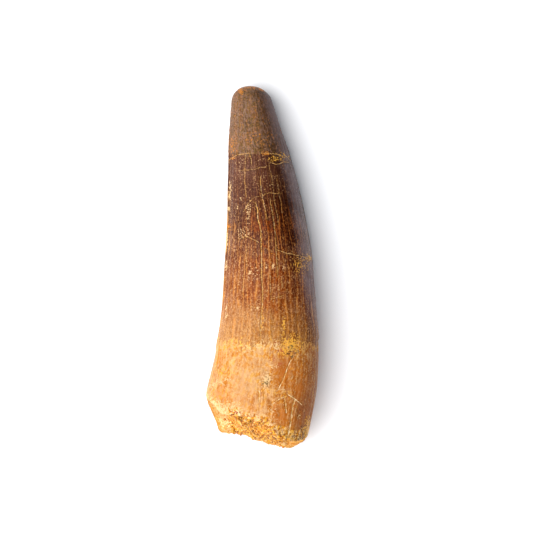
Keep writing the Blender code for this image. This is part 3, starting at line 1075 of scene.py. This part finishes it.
class FOSSIL_OT_tooth_surface(bpy.types.Operator):
    """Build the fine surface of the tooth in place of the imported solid"""

    bl_idname = "fossil.tooth_surface"
    bl_label = "Tooth surface"

    def execute(self, context):
        sizes = context.scene.fossil_sizes
        turns = [FULL * column / sizes.columns for column in range(sizes.columns)]
        made = [surface_point(0, 0.0, sizes)]
        for row in range(1, ROWS):
            made += [surface_point(row, turn, sizes) for turn in turns]
        made.append(surface_point(ROWS, 0.0, sizes))
        mesh = bpy.data.meshes.new("tooth_surface")
        mesh.from_pydata(self.lined_up([spot.point for spot in made]), [], self.skin(sizes.columns))
        mesh.shade_smooth()
        self.mark(mesh, made)
        piece = show("tooth_surface", mesh, tooth_finish(context.scene.fossil_colours))
        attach(piece, BODY)
        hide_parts(NODE)
        return {"FINISHED"}

    @staticmethod
    def skin(columns):
        """Faces between neighbouring rows, with a fan round each pole."""
        last = 1 + (ROWS - 1) * columns
        faces = []
        for column in range(columns):
            beside = (column + 1) % columns
            faces.append((0, 1 + beside, 1 + column))
            faces.append((last, last - columns + column, last - columns + beside))
            for first in range(1, last - columns, columns):
                here, there = first + column, first + beside
                faces.append((here, there, there + columns, here + columns))
        return faces

    @staticmethod
    def lined_up(points):
        """The points, worn flat below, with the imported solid's tip and sideways middle."""
        sideways = [point.x for point in points]
        middle = (CAD_BOX[0][0] + CAD_BOX[1][0]) / 2
        tip = max(point.y for point in points)
        shift = Vector((middle - (min(sideways) + max(sideways)) / 2, CAD_BOX[1][1] - tip, 0))
        return [Vector((point.x, point.y, max(point.z, 0.0))) + shift for point in points]

    @staticmethod
    def mark(mesh, made):
        """Stores what the finish needs to know of each vertex."""
        barrel = [part for spot in made for part in on_barrel(spot.along, spot.turn)]
        layer = mesh.attributes.new("barrel", "FLOAT_VECTOR", "POINT")
        layer.data.foreach_set("vector", barrel)
        values = {name: [getattr(spot, name) for spot in made] for name in ("inward", "to_edge", "pit")}
        for kind in STAINS:
            values[kind] = [
                stain(kind, spot.point) if math.sin(spot.turn) > STAINS_END else 0.0 for spot in made
            ]
        for name, numbers in values.items():
            layer = mesh.attributes.new(name, "FLOAT", "POINT")
            layer.data.foreach_set("value", numbers)


class FOSSIL_OT_sand_grains(bpy.types.Operator):
    """Scatter loose grains of sand over the broken end"""

    bl_idname = "fossil.sand_grains"
    bl_label = "Sand grains"

    def execute(self, context):
        sizes = context.scene.fossil_sizes
        surface = bpy.data.objects["tooth_surface"].data
        inward = surface.attributes["inward"].data
        faces = [face for face in surface.polygons if inward[face.vertices[0]].value > SAND_START]
        areas = [face.area * self.sandy(surface, face.vertices[0]) for face in faces]
        chance = random.Random(GRAIN_SEED)
        noise.seed_set(GRAIN_SEED)
        coarse, fine = self.ball(1), self.ball(2)
        corners, skins, tints = [], [], []
        for face in chance.choices(faces, weights=areas, k=sizes.grains):
            radius = sizes.grain_radius * chance.uniform(0.45, 1.0) ** 2 * 1.5
            stretch = Matrix.Diagonal([radius * chance.uniform(0.6, 1.3) for _ in range(3)])
            spin = Euler([chance.uniform(0, FULL) for _ in range(3)]).to_matrix()
            centre = face.center + face.normal * radius * chance.uniform(-0.4, 0.5)
            ball, skin = fine if radius > 0.8 * sizes.grain_radius else coarse
            first = len(corners)
            for corner in ball:
                dented = corner + noise.noise_vector(corner + centre / MM) * 0.3
                placed = centre + spin @ stretch @ dented
                corners.append((placed.x, placed.y, max(placed.z, 0.0)))
            skins += [[first + index for index in side] for side in skin]
            tints += [chance.random()] * len(ball)
        mesh = bpy.data.meshes.new("sand_grains")
        mesh.from_pydata(corners, [], skins)
        mesh.shade_smooth()
        mesh.attributes.new("tint", "FLOAT", "POINT").data.foreach_set("value", tints)
        piece = show("sand_grains", mesh, grain_finish(context.scene.fossil_colours))
        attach(piece, BODY)
        return {"FINISHED"}

    @staticmethod
    def sandy(surface, index):
        """How much sand lies at this vertex of the break: little on the bare wall round it."""
        inward = surface.attributes["inward"].data[index].value
        around, above, _ = surface.attributes["barrel"].data[index].vector / BARREL_RADIUS
        bare = inward < 0.3 and (around < -0.65 or above < -0.3)
        return BARE_WALL_SAND if bare else 1.0

    @staticmethod
    def ball(subdivisions):
        """Corners and faces of a round grain of radius 1."""
        shape = bmesh.new()
        bmesh.ops.create_icosphere(shape, subdivisions=subdivisions, radius=1)
        corners = [vertex.co.copy() for vertex in shape.verts]
        skin = [[vertex.index for vertex in face.verts] for face in shape.faces]
        shape.free()
        return corners, skin


class FOSSIL_OT_stage(bpy.types.Operator):
    """Set up the pale floor, the soft light and the camera straight above the tooth"""

    bl_idname = "fossil.stage"
    bl_label = "Stage"

    def execute(self, context):
        stage = context.scene.fossil_stage
        self.lay_floor(stage)
        self.hang_light(stage)
        self.light_room(context.scene, stage)
        self.aim_camera(context.scene, stage)
        context.scene.view_settings.view_transform = "Standard"
        return {"FINISHED"}

    @staticmethod
    def lay_floor(stage):
        shape = bmesh.new()
        bmesh.ops.create_grid(shape, x_segments=1, y_segments=1, size=FLOOR_HALF)
        mesh = bpy.data.meshes.new("floor")
        shape.to_mesh(mesh)
        shape.free()
        floor = show("floor", mesh, floor_finish(stage))
        floor.location.z = -FLOOR_GAP

    @staticmethod
    def hang_light(stage):
        """A large soft light on the left, a little towards the root."""
        key = bpy.data.lights.new("key", "AREA")
        key.energy = stage.key_power
        key.shape = "DISK"
        key.size = KEY_WIDTH
        lamp = bpy.data.objects.new("key", key)
        away = Euler((0, stage.key_tilt, stage.key_bearing)).to_matrix() @ Vector((0, 0, 1))
        lamp.location = KEY_DISTANCE * away
        lamp.rotation_euler = away.to_track_quat("Z", "Y").to_euler()
        bpy.context.scene.collection.objects.link(lamp)

    @staticmethod
    def light_room(scene, stage):
        """Dim light from all round. The camera itself sees the room as pale as the floor."""
        room = Finish(bpy.data.worlds.new("room"))
        room.nodes.remove(room.nodes["Background"])
        light = {"Color": stage.room_colour, "Strength": stage.room_light}
        dim = room.node("Background", {}, light)
        pale = room.node("Background", {}, {"Color": ROOM_SEEN})
        seen_by_camera = room.node("LightPath")
        mixed = room.node("MixShader", {}, {0: seen_by_camera, 1: dim, 2: pale})
        room.feed(room.nodes["World Output"].inputs["Surface"], mixed)
        scene.world = room.owner

    @staticmethod
    def aim_camera(scene, stage):
        """Straight down, with the photograph's width at the height of the tooth's widest part."""
        lens = bpy.data.cameras.new("camera")
        lens.lens = lens.sensor_width * stage.camera_height / (PHOTO_SIZE * PIXEL)
        lens.clip_start = 0.05
        lens.clip_end = 50
        camera = bpy.data.objects.new("camera", lens)
        middle = PHOTO_SIZE / 2
        camera.location = (
            (middle - PHOTO_ORIGIN[0]) * PIXEL,
            (PHOTO_ORIGIN[1] - middle) * PIXEL,
            WIDEST + stage.camera_height,
        )
        scene.collection.objects.link(camera)
        scene.camera = camera


class FOSSIL_PT_tooth(bpy.types.Panel):
    bl_label = "Fossil tooth"
    bl_idname = "FOSSIL_PT_tooth"
    bl_space_type = "VIEW_3D"
    bl_region_type = "UI"
    bl_category = "Fossil"

    def draw(self, context):
        for operator in PIECES:
            self.layout.operator(operator.bl_idname)


PIECES = (FOSSIL_OT_tooth_surface, FOSSIL_OT_sand_grains, FOSSIL_OT_stage)
GROUPS = {
    "fossil_sizes": FossilSizes,
    "fossil_colours": FossilColours,
    "fossil_stage": FossilStage,
}


def register():
    for cls in (*GROUPS.values(), *PIECES, FOSSIL_PT_tooth):
        bpy.utils.register_class(cls)
    for name, group in GROUPS.items():
        setattr(bpy.types.Scene, name, bpy.props.PointerProperty(type=group))


def unregister():
    for name in GROUPS:
        delattr(bpy.types.Scene, name)
    for cls in (FOSSIL_PT_tooth, *reversed(PIECES), *reversed(GROUPS.values())):
        bpy.utils.unregister_class(cls)


def main():
    register()
    bpy.ops.fossil.tooth_surface()
    bpy.ops.fossil.sand_grains()
    bpy.ops.fossil.stage()


if __name__ == "__main__":
    main()
